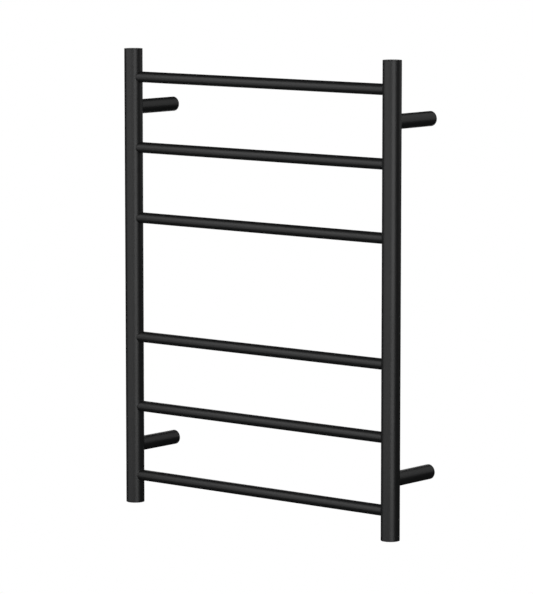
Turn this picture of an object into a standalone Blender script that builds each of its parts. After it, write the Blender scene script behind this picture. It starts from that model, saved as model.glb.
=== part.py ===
"""Wall-hung heated towel rack: two round uprights, six crossbars and four legs on wall spigots.

Metres, +Z up, +X to the right as seen from the room. The wall is the plane Y = 0 and the room
lies towards -Y. The origin is the centre of the four wall fixings, on the wall.
"""

import math

import bmesh
import bpy
from mathutils import Matrix, Vector

MM = 0.001

# Driving dimensions of the rack
HEIGHT = 800 * MM
WIDTH = 600 * MM
DEPTH = 123 * MM
UPRIGHT_RADIUS = 16 * MM
UPRIGHT_WALL = 1.5 * MM
BAR_RADIUS = 9.5 * MM
BAR_WALL = 1.2 * MM
LEG_RADIUS = 12.7 * MM
LEG_WALL = 1.5 * MM
LEG_RIM = 1 * MM  # how far the wall end's outer edge is eased
END_TO_FIRST_BAR = 49 * MM
BAR_PITCH = 123 * MM
BARS_IN_GROUP = 3
END_TO_LEG = 102 * MM
GAP = 0.3 * MM  # clearance wherever two pieces meet

# End caps of the uprights
CAP_FLANGE = 1.5 * MM
CAP_SKIRT = 9 * MM
CAP_SKIRT_WALL = 1.6 * MM
CAP_CHAMFER = 0.4 * MM

# Wall spigots that the legs slide over, and the set screws that lock them
WALL_CLEARANCE = 0.5 * MM  # between a leg's end and the wall
SPIGOT_LENGTH = 22 * MM
SPIGOT_FLAT = 8.2 * MM  # from the spigot's axis to the flat under it
SPIGOT_CHAMFER = 0.8 * MM
FIXING_HOLE_RADIUS = 2.6 * MM
FIXING_HEAD_RADIUS = 5 * MM
FIXING_HEAD_DEPTH = 12 * MM
SET_SCREW_RADIUS = 2.4 * MM
SET_SCREW_LENGTH = 4 * MM
SET_SCREW_FROM_WALL = 10 * MM
SET_SCREW_CHAMFER = 0.35 * MM
HEX_KEY_RADIUS = 1.44 * MM  # across the corners of a 2.5 mm key
HEX_KEY_DEPTH = 2 * MM

# Supply entry: an offset hole for the flex and a small fixing hole below it
ENTRY_RADIUS = 5 * MM
ENTRY_RISE = 4.6 * MM
ENTRY_FIXING_RADIUS = 2.1 * MM
ENTRY_FIXING_DROP = 4.4 * MM
GLAND_BORE_RADIUS = 3.6 * MM
GLAND_LIP_RADIUS = 5.3 * MM
GLAND_LIP = 2 * MM

# Pieces inside the wiring leg, each given by its distances from the wall
BLOCK_FROM_WALL = 30 * MM
BLOCK_SIZE = Vector((15 * MM, 13 * MM, 20 * MM))  # across, up, along the leg
BLOCK_DROP = 1 * MM
POLE_PITCH = 4.7 * MM
POLE_DROP = 2.5 * MM
POLE_HOLE_RADIUS = 2 * MM
SLEEVE_RADIUS = 1.7 * MM
SLEEVE_BORE_RADIUS = 1.05 * MM
CLAMP_SCREW_RADIUS = 1.2 * MM
CLAMP_SCREW_LENGTH = 4.5 * MM
CLAMP_SCREW_PITCH = 9 * MM
CUTOUT_FROM_WALL = 58 * MM
CUTOUT_LENGTH = 12 * MM
CUTOUT_RADIUS = 2.8 * MM
JOINT_FROM_WALL = 78 * MM
JOINT_LENGTH = 16 * MM
JOINT_RADIUS = 3.4 * MM
JOINT_LEAD_OFFSET = 1.6 * MM
TAB_FROM_WALL = 61 * MM
TAB_LENGTH = 17 * MM
TAB_WIDTH = 6.3 * MM
TAB_THICKNESS = 0.8 * MM
TAB_RISE = 6.5 * MM
TAB_FOOT_RISE = 10 * MM
RECEPTACLE_FROM_WALL = 57 * MM
RECEPTACLE_SIZE = Vector((8.3 * MM, 2.8 * MM, 10 * MM))
LEAD_RADIUS = 0.9 * MM

# Heating cable
CABLE_RADIUS = 2.5 * MM
CABLE_BEND = 20 * MM
CABLE_SIDE = 10.5 * MM  # how far its vertical runs lie from an upright's axis
CABLE_SAG = 5 * MM  # how far below a crossbar's axis it rests
CABLE_SETTLE = 60 * MM  # length over which it settles onto a crossbar's floor
END_SEAL_LENGTH = 28 * MM
END_SEAL_RADIUS = 3.3 * MM
END_SEAL_X = 225 * MM

# Facets round each kind of piece
UPRIGHT_SEGMENTS = 48
BAR_SEGMENTS = 28
LEG_SEGMENTS = 32
SMALL_SEGMENTS = 16

# Places that follow from the driving dimensions
UPRIGHT_X = WIDTH / 2 - UPRIGHT_RADIUS
UPRIGHT_Y = UPRIGHT_RADIUS - DEPTH
UPRIGHT_BORE = UPRIGHT_RADIUS - UPRIGHT_WALL
UPRIGHT_HALF = HEIGHT / 2 - CAP_FLANGE - GAP
BAR_BORE = BAR_RADIUS - BAR_WALL
LEG_BORE = LEG_RADIUS - LEG_WALL
LEG_Z = HEIGHT / 2 - END_TO_LEG
SPIGOT_RADIUS = LEG_BORE - GAP
TOP_GROUP = [HEIGHT / 2 - END_TO_FIRST_BAR - i * BAR_PITCH for i in range(BARS_IN_GROUP)]
BAR_HEIGHTS = TOP_GROUP + [-z for z in reversed(TOP_GROUP)]
SIDES = {"left": -1, "right": 1}
LEVELS = {"top": 1, "bottom": -1}
TOWARDS_ROOM = (math.pi / 2, 0, 0)  # turns a piece's own +Z to -Y and its +Y to +Z
WIRING_LEG = Vector((UPRIGHT_X, 0, -LEG_Z))


def tube_end_inside(outer_radius, inner_radius):
    """How far from the outer tube's axis a crossing tube's square end lies, once it is through."""
    return math.sqrt(outer_radius**2 - inner_radius**2) - 0.5 * MM


BAR_END = tube_end_inside(UPRIGHT_BORE, BAR_RADIUS)
LEG_END = tube_end_inside(UPRIGHT_BORE, LEG_RADIUS)


def clear_scene():
    for obj in list(bpy.data.objects):
        bpy.data.objects.remove(obj)


def make_material(name, colour, roughness, metallic):
    material = bpy.data.materials.new(name)
    material.use_nodes = True
    shader = material.node_tree.nodes["Principled BSDF"]
    shader.inputs["Base Color"].default_value = (*colour, 1)
    shader.inputs["Roughness"].default_value = roughness
    shader.inputs["Metallic"].default_value = metallic
    material.diffuse_color = (*colour, 1)
    return material


def finished(mesh_builder, name):
    """Turns a bmesh into a mesh with outward normals and smooth round sides."""
    bmesh.ops.remove_doubles(mesh_builder, verts=mesh_builder.verts, dist=1e-6)
    bmesh.ops.recalc_face_normals(mesh_builder, faces=mesh_builder.faces)
    mesh = bpy.data.meshes.new(name)
    mesh_builder.to_mesh(mesh)
    mesh_builder.free()
    mesh.shade_smooth()
    mesh.set_sharp_from_angle(angle=math.radians(35))
    return mesh


def turned_mesh(name, profile, segments, hollow=False):
    """Spins (radius, height) points about Z. A hollow profile is a closed loop off the axis."""
    builder = bmesh.new()
    points = [builder.verts.new((radius, 0, height)) for radius, height in profile]
    edges = [builder.edges.new(pair) for pair in zip(points, points[1:])]
    if hollow:
        edges.append(builder.edges.new((points[-1], points[0])))
    bmesh.ops.spin(
        builder,
        geom=points + edges,
        cent=(0, 0, 0),
        axis=(0, 0, 1),
        angle=2 * math.pi,
        steps=segments,
        use_merge=True,
    )
    return finished(builder, name)


def tube_mesh(name, outer, inner, start, end, segments):
    profile = [(inner, start), (outer, start), (outer, end), (inner, end)]
    return turned_mesh(name, profile, segments, hollow=True)


def box_mesh(name, size, centre=(0, 0, 0)):
    builder = bmesh.new()
    bmesh.ops.create_cube(builder, size=1, matrix=Matrix.Translation(centre) @ Matrix.Diagonal((*size, 1)))
    return finished(builder, name)


def place(name, mesh, material, parent, location=(0, 0, 0), rotation=(0, 0, 0)):
    obj = bpy.data.objects.new(name, mesh)
    bpy.context.scene.collection.objects.link(obj)
    if material and not mesh.materials:
        mesh.materials.append(material)
    obj.location = location
    obj.rotation_euler = rotation
    obj.parent = parent
    return obj


def place_empty(name, parent, location, rotation=(0, 0, 0)):
    empty = bpy.data.objects.new(name, None)
    bpy.context.scene.collection.objects.link(empty)
    empty.location = location
    empty.rotation_euler = rotation
    empty.parent = parent
    return empty


def cylinder(builder, centre, direction, radius, length, segments):
    """Adds a closed cylinder that starts at centre and runs along direction."""
    turn = Vector((0, 0, 1)).rotation_difference(Vector(direction)).to_matrix().to_4x4()
    middle = Vector(centre) + Vector(direction).normalized() * length / 2
    bmesh.ops.create_cone(
        builder,
        cap_ends=True,
        segments=segments,
        radius1=radius,
        radius2=radius,
        depth=length,
        matrix=Matrix.Translation(middle) @ turn,
    )


def cut(obj, builder, name):
    """Cuts the builder's closed shapes, drawn in the object's own frame, out of the object."""
    cutter = place(name, finished(builder, name), None, obj)
    cutter.hide_render = True
    cutter.display_type = "WIRE"
    modifier = obj.modifiers.new(name, "BOOLEAN")
    modifier.operation = "DIFFERENCE"
    modifier.object = cutter


def baked_mesh(obj):
    """The object's mesh with its modifiers applied, for copies to share. Removes the object."""
    bpy.context.view_layer.update()
    evaluated = obj.evaluated_get(bpy.context.evaluated_depsgraph_get())
    mesh = bpy.data.meshes.new_from_object(evaluated)
    for helper in list(obj.children) + [obj]:
        bpy.data.objects.remove(helper)
    return mesh


def smooth_route(points, pieces):
    """A curve through the points, with the given number of pieces to each span."""
    spans = [b - a for a, b in zip(points, points[1:])]
    headings = [(before + after).normalized() for before, after in zip(spans[:1] + spans, spans + spans[-1:])]
    route = []
    for begin, span, leaving, arriving in zip(points, spans, headings, headings[1:]):
        end = begin + span
        for step in range(pieces):
            t = step / pieces
            shares = (2 * t**3 - 3 * t**2 + 1, t**3 - 2 * t**2 + t, 3 * t**2 - 2 * t**3, t**3 - t**2)
            bulge = leaving * span.length * shares[1] + arriving * span.length * shares[3]
            route.append(begin * shares[0] + end * shares[2] + bulge)
    return route + [points[-1]]


def wire(name, route, radius, sides, material, parent):
    """A round wire along the route, with flat ends."""
    curve = bpy.data.curves.new(name, "CURVE")
    curve.dimensions = "3D"
    curve.bevel_depth = radius
    curve.bevel_resolution = (sides - 4) // 2
    curve.use_fill_caps = True
    spline = curve.splines.new("POLY")
    spline.points.add(len(route) - 1)
    for point, position in zip(spline.points, route):
        point.co = (*position, 1)
    curve.materials.append(material)
    obj = bpy.data.objects.new(name, curve)
    bpy.context.scene.collection.objects.link(obj)
    obj.parent = parent
    return obj


def make_uprights(rack, finish):
    for side, sign in SIDES.items():
        mesh = tube_mesh("upright", UPRIGHT_RADIUS, UPRIGHT_BORE, -UPRIGHT_HALF, UPRIGHT_HALF, UPRIGHT_SEGMENTS)
        upright = place("upright_" + side, mesh, finish, rack, (sign * UPRIGHT_X, UPRIGHT_Y, 0))
        holes = bmesh.new()
        reach = UPRIGHT_RADIUS + 2 * MM
        for z in BAR_HEIGHTS:
            cylinder(holes, (0, 0, z), (-sign, 0, 0), BAR_RADIUS + GAP, reach, BAR_SEGMENTS)
        for level in LEVELS.values():
            cylinder(holes, (0, 0, level * LEG_Z), (0, 1, 0), LEG_RADIUS + GAP, reach, LEG_SEGMENTS)
        cut(upright, holes, "holes_in_upright_" + side)


def make_end_caps(rack, finish):
    plug = UPRIGHT_BORE - GAP
    bore = plug - CAP_SKIRT_WALL
    mesh = turned_mesh(
        "end_cap",
        [
            (0, 0),
            (UPRIGHT_RADIUS - CAP_CHAMFER, 0),
            (UPRIGHT_RADIUS, -CAP_CHAMFER),
            (UPRIGHT_RADIUS, -CAP_FLANGE),
            (plug, -CAP_FLANGE),
            (plug, -CAP_FLANGE - CAP_SKIRT),
            (bore, -CAP_FLANGE - CAP_SKIRT),
            (bore, -CAP_FLANGE),
            (0, -CAP_FLANGE),
        ],
        UPRIGHT_SEGMENTS,
    )
    for level, up in LEVELS.items():
        for side, sign in SIDES.items():
            at = (sign * UPRIGHT_X, UPRIGHT_Y, up * HEIGHT / 2)
            turn = (0 if up > 0 else math.pi, 0, 0)
            place(f"end_cap_{level}_{side}", mesh, finish, rack, at, turn)


def make_crossbars(rack, finish):
    half = UPRIGHT_X - BAR_END
    mesh = tube_mesh("crossbar", BAR_RADIUS, BAR_BORE, -half, half, BAR_SEGMENTS)
    for number, z in enumerate(BAR_HEIGHTS, start=1):
        place(f"crossbar_{number}", mesh, finish, rack, (0, UPRIGHT_Y, z), (0, math.pi / 2, 0))


def make_legs(rack, finish):
    """Each leg stands out from an upright's back, and has a tapped hole underneath near the wall."""
    end = -UPRIGHT_Y - LEG_END
    profile = [
        (LEG_BORE, WALL_CLEARANCE),
        (LEG_RADIUS - LEG_RIM, WALL_CLEARANCE),
        (LEG_RADIUS - 0.3 * LEG_RIM, WALL_CLEARANCE + 0.3 * LEG_RIM),
        (LEG_RADIUS, WALL_CLEARANCE + LEG_RIM),
        (LEG_RADIUS, end),
        (LEG_BORE, end),
    ]
    mesh = turned_mesh("leg", profile, LEG_SEGMENTS, hollow=True)
    blank = place("leg_blank", mesh, finish, None)
    hole = bmesh.new()
    start = (0, -SPIGOT_FLAT, SET_SCREW_FROM_WALL)
    cylinder(hole, start, (0, -1, 0), SET_SCREW_RADIUS + GAP, LEG_RADIUS, SMALL_SEGMENTS)
    cut(blank, hole, "set_screw_hole")
    mesh = baked_mesh(blank)
    for level, up in LEVELS.items():
        for side, sign in SIDES.items():
            at = (sign * UPRIGHT_X, 0, up * LEG_Z)
            place(f"leg_{level}_{side}", mesh, finish, rack, at, TOWARDS_ROOM)


def spigot_flat():
    """The shape milled off under a spigot, so that its set screw bears on a flat."""
    flat = bmesh.new()
    size = (2 * SPIGOT_RADIUS, SPIGOT_RADIUS, 2 * SPIGOT_LENGTH)
    centre = (0, -SPIGOT_FLAT - SPIGOT_RADIUS / 2, SPIGOT_LENGTH / 2)
    bmesh.ops.create_cube(flat, size=1, matrix=Matrix.Translation(centre) @ Matrix.Diagonal((*size, 1)))
    return flat


def make_wall_spigots(wall, steel):
    """Three plain spigots with a recess for the screw head, and the wiring one with its entry."""
    head_floor = SPIGOT_LENGTH - FIXING_HEAD_DEPTH
    nose = [(SPIGOT_RADIUS, SPIGOT_LENGTH - SPIGOT_CHAMFER), (SPIGOT_RADIUS - SPIGOT_CHAMFER, SPIGOT_LENGTH)]
    recess = [(FIXING_HEAD_RADIUS, SPIGOT_LENGTH), (FIXING_HEAD_RADIUS, head_floor)]
    profile = [(FIXING_HOLE_RADIUS, 0), (SPIGOT_RADIUS, 0), *nose, *recess, (FIXING_HOLE_RADIUS, head_floor)]
    blank = place("spigot_blank", turned_mesh("wall_spigot", profile, LEG_SEGMENTS, hollow=True), steel, None)
    cut(blank, spigot_flat(), "flat_under_spigot")
    plain = baked_mesh(blank)

    profile = [(0, 0), (SPIGOT_RADIUS, 0), *nose, (0, SPIGOT_LENGTH)]
    blank = place("wiring_blank", turned_mesh("wiring_spigot", profile, LEG_SEGMENTS), steel, None)
    cut(blank, spigot_flat(), "flat_under_wiring_spigot")
    holes = bmesh.new()
    start = -SPIGOT_CHAMFER
    length = SPIGOT_LENGTH + 2 * SPIGOT_CHAMFER
    cylinder(holes, (0, ENTRY_RISE, start), (0, 0, 1), ENTRY_RADIUS, length, SMALL_SEGMENTS)
    cylinder(holes, (0, -ENTRY_FIXING_DROP, start), (0, 0, 1), ENTRY_FIXING_RADIUS, length, SMALL_SEGMENTS)
    cut(blank, holes, "wiring_spigot_holes")
    wiring = baked_mesh(blank)

    for level, up in LEVELS.items():
        for side, sign in SIDES.items():
            mesh = wiring if (up, sign) == (-1, 1) else plain
            at = (sign * UPRIGHT_X, 0, up * LEG_Z)
            place(f"wall_spigot_{level}_{side}", mesh, steel, wall, at, TOWARDS_ROOM)


def make_set_screws(rack, steel):
    """Hexagon-socket set screws. Each screw's own +Z points down, along the way it backs out."""
    tip = SPIGOT_FLAT + GAP
    head = tip + SET_SCREW_LENGTH
    slim = SET_SCREW_RADIUS - SET_SCREW_CHAMFER
    profile = [
        (0, tip),
        (slim, tip),
        (SET_SCREW_RADIUS, tip + SET_SCREW_CHAMFER),
        (SET_SCREW_RADIUS, head - SET_SCREW_CHAMFER),
        (slim, head),
        (0, head),
    ]
    blank = place("set_screw_blank", turned_mesh("set_screw", profile, SMALL_SEGMENTS), steel, None)
    socket = bmesh.new()
    cylinder(socket, (0, 0, head - HEX_KEY_DEPTH), (0, 0, 1), HEX_KEY_RADIUS, 2 * HEX_KEY_DEPTH, 6)
    cut(blank, socket, "hexagon_socket")
    mesh = baked_mesh(blank)
    for level, up in LEVELS.items():
        for side, sign in SIDES.items():
            at = (sign * UPRIGHT_X, -SET_SCREW_FROM_WALL, up * LEG_Z)
            place(f"set_screw_{level}_{side}", mesh, steel, rack, at, (math.pi, 0, 0))


def make_cable_gland(wall, rubber):
    """A rubber sleeve that lines the entry hole, with a lip on the room side."""
    outer = ENTRY_RADIUS - GAP
    rear = WALL_CLEARANCE
    step = SPIGOT_LENGTH + GAP
    front = step + GLAND_LIP
    profile = [
        (GLAND_BORE_RADIUS, rear),
        (outer, rear),
        (outer, step),
        (GLAND_LIP_RADIUS, step),
        (GLAND_LIP_RADIUS, front),
        (GLAND_BORE_RADIUS, front),
    ]
    mesh = turned_mesh("cable_gland", profile, SMALL_SEGMENTS, hollow=True)
    place("cable_gland", mesh, rubber, wall, WIRING_LEG + Vector((0, 0, ENTRY_RISE)), TOWARDS_ROOM)


def make_terminal_block(inner, nylon, brass, steel):
    """A three-pole block. In the wiring leg's frame X is across, Y is up and Z is into the room."""
    centre = Vector((0, -BLOCK_DROP, BLOCK_FROM_WALL + BLOCK_SIZE.z / 2))
    block = place("terminal_block", box_mesh("terminal_block", BLOCK_SIZE, centre), nylon, inner)
    holes = bmesh.new()
    start = BLOCK_FROM_WALL - MM
    wells = [BLOCK_FROM_WALL + BLOCK_SIZE.z / 2 + end * CLAMP_SCREW_PITCH / 2 for end in (-1, 1)]
    for pole in (-1, 0, 1):
        x = pole * POLE_PITCH
        cylinder(holes, (x, -POLE_DROP, start), (0, 0, 1), POLE_HOLE_RADIUS, BLOCK_SIZE.z + 2 * MM, SMALL_SEGMENTS)
    cut(block, holes, "pole_holes")
    screw_wells = bmesh.new()
    for pole in (-1, 0, 1):
        for along in wells:
            at = (pole * POLE_PITCH, -POLE_DROP, along)
            cylinder(screw_wells, at, (0, 1, 0), CLAMP_SCREW_RADIUS + GAP, BLOCK_SIZE.y, SMALL_SEGMENTS)
    cut(block, screw_wells, "screw_wells")

    sleeve_start = BLOCK_FROM_WALL + 2 * MM
    sleeve_end = BLOCK_FROM_WALL + BLOCK_SIZE.z - 2 * MM
    sleeve = tube_mesh("terminal_sleeve", SLEEVE_RADIUS, SLEEVE_BORE_RADIUS, sleeve_start, sleeve_end, SMALL_SEGMENTS)
    screw_foot = SLEEVE_RADIUS + GAP
    profile = [
        (0, screw_foot),
        (CLAMP_SCREW_RADIUS, screw_foot),
        (CLAMP_SCREW_RADIUS, screw_foot + CLAMP_SCREW_LENGTH),
        (0, screw_foot + CLAMP_SCREW_LENGTH),
    ]
    screw = turned_mesh("clamp_screw", profile, SMALL_SEGMENTS // 2)
    for number, (pole, circuit) in enumerate(zip((-1, 0, 1), ("live", "earth", "neutral"))):
        axis = Vector((pole * POLE_PITCH, -POLE_DROP, 0))
        place("terminal_sleeve_" + circuit, sleeve, brass, inner, axis)
        for end, along in enumerate(wells):
            at = axis + Vector((0, 0, along))
            place(f"clamp_screw_{2 * number + end + 1}", screw, steel, inner, at, (-math.pi / 2, 0, 0))


def make_protection(inner, metal, sleeve_plastic):
    """The thermal cut-out in the live lead, and the moulded joint where the leads meet the cable."""
    chamfer = 0.5 * MM
    for name, material, radius, start, length, x, y in (
        ("thermal_cutout", metal, CUTOUT_RADIUS, CUTOUT_FROM_WALL, CUTOUT_LENGTH, -POLE_PITCH, -POLE_DROP),
        ("cable_joint", sleeve_plastic, JOINT_RADIUS, JOINT_FROM_WALL, JOINT_LENGTH, 0, 0),
    ):
        slim = radius - chamfer
        end = start + length
        profile = [(0, start), (slim, start), (radius, start + chamfer), (radius, end - chamfer), (slim, end), (0, end)]
        place(name, turned_mesh(name, profile, SMALL_SEGMENTS), material, inner, (x, y, 0))


def make_earth_point(inner, steel, brass):
    """A blade tab whose foot is welded to the leg's roof, and the receptacle pushed onto it."""
    tab = bmesh.new()
    half = TAB_THICKNESS / 2
    step = TAB_FROM_WALL + TAB_LENGTH - 5 * MM
    end = TAB_FROM_WALL + TAB_LENGTH
    outline = [
        (TAB_RISE - half, TAB_FROM_WALL),
        (TAB_RISE + half, TAB_FROM_WALL),
        (TAB_RISE + half, step - TAB_THICKNESS),
        (TAB_FOOT_RISE - half, step - TAB_THICKNESS),
        (TAB_FOOT_RISE - half, step - 4 * MM),
        (TAB_FOOT_RISE + half, step - 4 * MM),
        (TAB_FOOT_RISE + half, step),
        (TAB_RISE - half, step),
    ]
    face = tab.faces.new([tab.verts.new((-TAB_WIDTH / 2, y, z)) for y, z in outline])
    grown = bmesh.ops.extrude_face_region(tab, geom=[face])["geom"]
    moved = [item for item in grown if isinstance(item, bmesh.types.BMVert)]
    bmesh.ops.translate(tab, verts=moved, vec=(TAB_WIDTH, 0, 0))
    place("earth_tab", finished(tab, "earth_tab"), steel, inner)

    centre = Vector((0, TAB_RISE, RECEPTACLE_FROM_WALL + RECEPTACLE_SIZE.z / 2))
    receptacle = place("earth_receptacle", box_mesh("earth_receptacle", RECEPTACLE_SIZE, centre), brass, inner)
    slot = bmesh.new()
    slot_size = (TAB_WIDTH + 2 * GAP, TAB_THICKNESS + 2 * GAP, end - TAB_FROM_WALL)
    slot_centre = (0, TAB_RISE, TAB_FROM_WALL - GAP + slot_size[2] / 2)
    bmesh.ops.create_cube(slot, size=1, matrix=Matrix.Translation(slot_centre) @ Matrix.Diagonal((*slot_size, 1)))
    cut(receptacle, slot, "receptacle_slot")


def make_leads(inner, colours):
    """The four short insulated leads between the terminal block and what it feeds."""
    block_end = BLOCK_FROM_WALL + BLOCK_SIZE.z + GAP
    cutout_end = CUTOUT_FROM_WALL + CUTOUT_LENGTH + GAP
    joint_start = JOINT_FROM_WALL - GAP
    level = -POLE_DROP
    routes = {
        "live_lead": [(-POLE_PITCH, level, block_end), (-POLE_PITCH, level, CUTOUT_FROM_WALL - GAP)],
        "switched_live_lead": [
            (-POLE_PITCH, level, cutout_end),
            (-POLE_PITCH + 0.4 * MM, level + 0.3 * MM, cutout_end + 1.8 * MM),
            (-JOINT_LEAD_OFFSET - 0.4 * MM, -0.3 * MM, joint_start - 1.8 * MM),
            (-JOINT_LEAD_OFFSET, 0, joint_start),
        ],
        "neutral_lead": [
            (POLE_PITCH, level, block_end),
            (POLE_PITCH, level, block_end + 5 * MM),
            (POLE_PITCH + 0.5 * MM, level + 1 * MM, block_end + 14 * MM),
            (JOINT_LEAD_OFFSET + 0.7 * MM, -0.4 * MM, joint_start - 4 * MM),
            (JOINT_LEAD_OFFSET, 0, joint_start),
        ],
        "earth_lead": [
            (0, level, block_end),
            (0, level + 0.8 * MM, block_end + 1.6 * MM),
            (0, TAB_RISE - 0.8 * MM, RECEPTACLE_FROM_WALL - 1.9 * MM),
            (0, TAB_RISE, RECEPTACLE_FROM_WALL - GAP),
        ],
    }
    for name, points in routes.items():
        route = [Vector(point) for point in points]
        wire(name, smooth_route(route, 3), LEAD_RADIUS, 8, colours[name], inner)


def bend(start, along, towards, radius, steps):
    """Points of a quarter turn that leaves start along one direction and ends along another."""
    points = []
    for step in range(1, steps + 1):
        angle = math.pi / 2 * step / steps
        points.append(start + along * radius * math.sin(angle) + towards * radius * (1 - math.cos(angle)))
    return points


def cable_route():
    """From the wiring leg down into the lowest crossbar, then to and fro up to the top one."""
    forward = Vector((0, -1, 0))
    up = Vector((0, 0, 1))
    across = Vector((1, 0, 0))
    start = Vector((UPRIGHT_X, -JOINT_FROM_WALL - JOINT_LENGTH - GAP, -LEG_Z))
    turn_y = UPRIGHT_Y - CABLE_SIDE + CABLE_BEND
    route = [start, Vector((UPRIGHT_X, turn_y, -LEG_Z))]
    route += bend(route[-1], forward, -up, CABLE_BEND, 3)

    heights = [z - CABLE_SAG / 2 for z in reversed(BAR_HEIGHTS)]
    entry = Vector((UPRIGHT_X, route[-1].y, heights[0] + CABLE_BEND))
    route.append(entry)
    shift = Vector((0, UPRIGHT_Y - entry.y, 0))
    steps = 4
    for step, point in enumerate(bend(entry, -up, -across, CABLE_BEND, steps), start=1):
        eased = math.sin(math.pi / 2 * step / steps)
        route.append(point + shift * eased)

    inside = UPRIGHT_X + CABLE_SIDE - CABLE_BEND
    for number, z in enumerate(heights):
        heading = across if number % 2 else -across
        floor = z - CABLE_SAG / 2
        straight = inside - CABLE_BEND / 2
        settled = inside - CABLE_SETTLE
        run = [(straight, z), (settled, floor), (0, floor), (-settled, floor), (-straight, z)]
        if number == 0:
            run = run[1:]  # the bend from the wiring leg already ends past this point
        for before_middle, height in run:
            route.append(Vector((-heading.x * before_middle, UPRIGHT_Y, height)))
        if number == len(heights) - 1:
            route[-2:] = [Vector((END_SEAL_X, UPRIGHT_Y, floor))]
            break
        route.append(Vector((heading.x * inside, UPRIGHT_Y, z)))
        route += bend(route[-1], heading, up, CABLE_BEND, 4)
        next_turn = Vector((route[-1].x, UPRIGHT_Y, heights[number + 1] - CABLE_BEND))
        route += [(route[-1] + next_turn) / 2, next_turn]
        route += bend(next_turn, up, -heading, CABLE_BEND, 4)
    return route


def make_heating_cable(rack, silicone, sleeve_plastic):
    route = cable_route()
    wire("heating_cable", smooth_route(route, 2), CABLE_RADIUS, 8, silicone, rack)
    chamfer = 1 * MM
    slim = END_SEAL_RADIUS - chamfer
    profile = [
        (0, 0),
        (slim, 0),
        (END_SEAL_RADIUS, chamfer),
        (END_SEAL_RADIUS, END_SEAL_LENGTH - chamfer),
        (slim, END_SEAL_LENGTH),
        (0, END_SEAL_LENGTH),
    ]
    seal = turned_mesh("cable_end_seal", profile, SMALL_SEGMENTS)
    rise = END_SEAL_RADIUS + GAP - BAR_BORE
    at = (END_SEAL_X + GAP, UPRIGHT_Y, BAR_HEIGHTS[0] + rise)
    place("cable_end_seal", seal, sleeve_plastic, rack, at, (0, math.pi / 2, 0))


def main():
    clear_scene()
    black = make_material("satin_black", (0.03, 0.03, 0.031), 0.5, 0.0)
    steel = make_material("steel", (0.5, 0.5, 0.49), 0.35, 1.0)
    brass = make_material("brass", (0.7, 0.5, 0.22), 0.35, 1.0)
    aluminium = make_material("aluminium", (0.75, 0.75, 0.76), 0.4, 1.0)
    rubber = make_material("rubber", (0.02, 0.02, 0.02), 0.8, 0.0)
    silicone = make_material("silicone", (0.45, 0.12, 0.06), 0.6, 0.0)
    nylon = make_material("nylon", (0.8, 0.78, 0.7), 0.5, 0.0)
    sleeve_plastic = make_material("sleeve_plastic", (0.05, 0.05, 0.05), 0.5, 0.0)
    brown = make_material("brown_insulation", (0.16, 0.06, 0.02), 0.5, 0.0)
    blue = make_material("blue_insulation", (0.02, 0.09, 0.4), 0.5, 0.0)
    green = make_material("green_insulation", (0.1, 0.4, 0.05), 0.5, 0.0)

    wall = place_empty("wall_side", None, (0, 0, 0))
    rack = place_empty("rack", None, (0, 0, 0))
    inner = place_empty("wiring_leg_frame", rack, WIRING_LEG, TOWARDS_ROOM)

    make_uprights(rack, black)
    make_end_caps(rack, black)
    make_crossbars(rack, black)
    make_legs(rack, black)
    make_wall_spigots(wall, steel)
    make_set_screws(rack, steel)
    make_cable_gland(wall, rubber)
    make_terminal_block(inner, nylon, brass, steel)
    make_protection(inner, aluminium, sleeve_plastic)
    make_earth_point(inner, steel, brass)
    colours = {"live_lead": brown, "switched_live_lead": brown, "neutral_lead": blue, "earth_lead": green}
    make_leads(inner, colours)
    make_heating_cable(rack, silicone, sleeve_plastic)


main()
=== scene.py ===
# Heated towel rack in satin black: the finished surfaces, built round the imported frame.
import math

import bmesh
import bpy
from mathutils import Matrix, Vector


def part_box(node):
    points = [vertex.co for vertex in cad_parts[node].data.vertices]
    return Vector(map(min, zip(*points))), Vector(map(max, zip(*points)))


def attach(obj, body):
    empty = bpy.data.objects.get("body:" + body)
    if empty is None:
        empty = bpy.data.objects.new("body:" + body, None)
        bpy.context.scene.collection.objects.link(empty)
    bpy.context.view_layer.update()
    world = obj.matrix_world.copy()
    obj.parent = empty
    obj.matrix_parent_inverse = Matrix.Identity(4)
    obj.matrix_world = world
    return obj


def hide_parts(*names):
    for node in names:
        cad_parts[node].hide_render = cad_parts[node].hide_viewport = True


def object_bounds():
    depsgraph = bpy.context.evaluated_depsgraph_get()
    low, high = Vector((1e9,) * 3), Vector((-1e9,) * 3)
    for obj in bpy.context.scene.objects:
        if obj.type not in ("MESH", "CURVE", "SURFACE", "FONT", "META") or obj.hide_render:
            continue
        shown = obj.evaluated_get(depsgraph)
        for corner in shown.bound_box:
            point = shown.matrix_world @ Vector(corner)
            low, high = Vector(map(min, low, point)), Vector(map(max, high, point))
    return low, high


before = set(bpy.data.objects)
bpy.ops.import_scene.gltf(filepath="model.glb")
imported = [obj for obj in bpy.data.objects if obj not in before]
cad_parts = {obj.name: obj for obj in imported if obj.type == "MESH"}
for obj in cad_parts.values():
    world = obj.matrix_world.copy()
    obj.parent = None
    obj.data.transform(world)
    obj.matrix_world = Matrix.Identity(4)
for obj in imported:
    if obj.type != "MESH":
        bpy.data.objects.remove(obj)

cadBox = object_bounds()
mm = 0.001
sides = ("left", "right")
levels = ("top", "bottom")
corners = [(level, side) for level in levels for side in sides]
barCount = 6
print("frame loaded:", len(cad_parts), "nodes")


# Where the frame's pieces are

def nodeCentre(name):
    low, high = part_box(name)
    return (low + high) / 2


def nodeSize(name):
    low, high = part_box(name)
    return high - low


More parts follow.
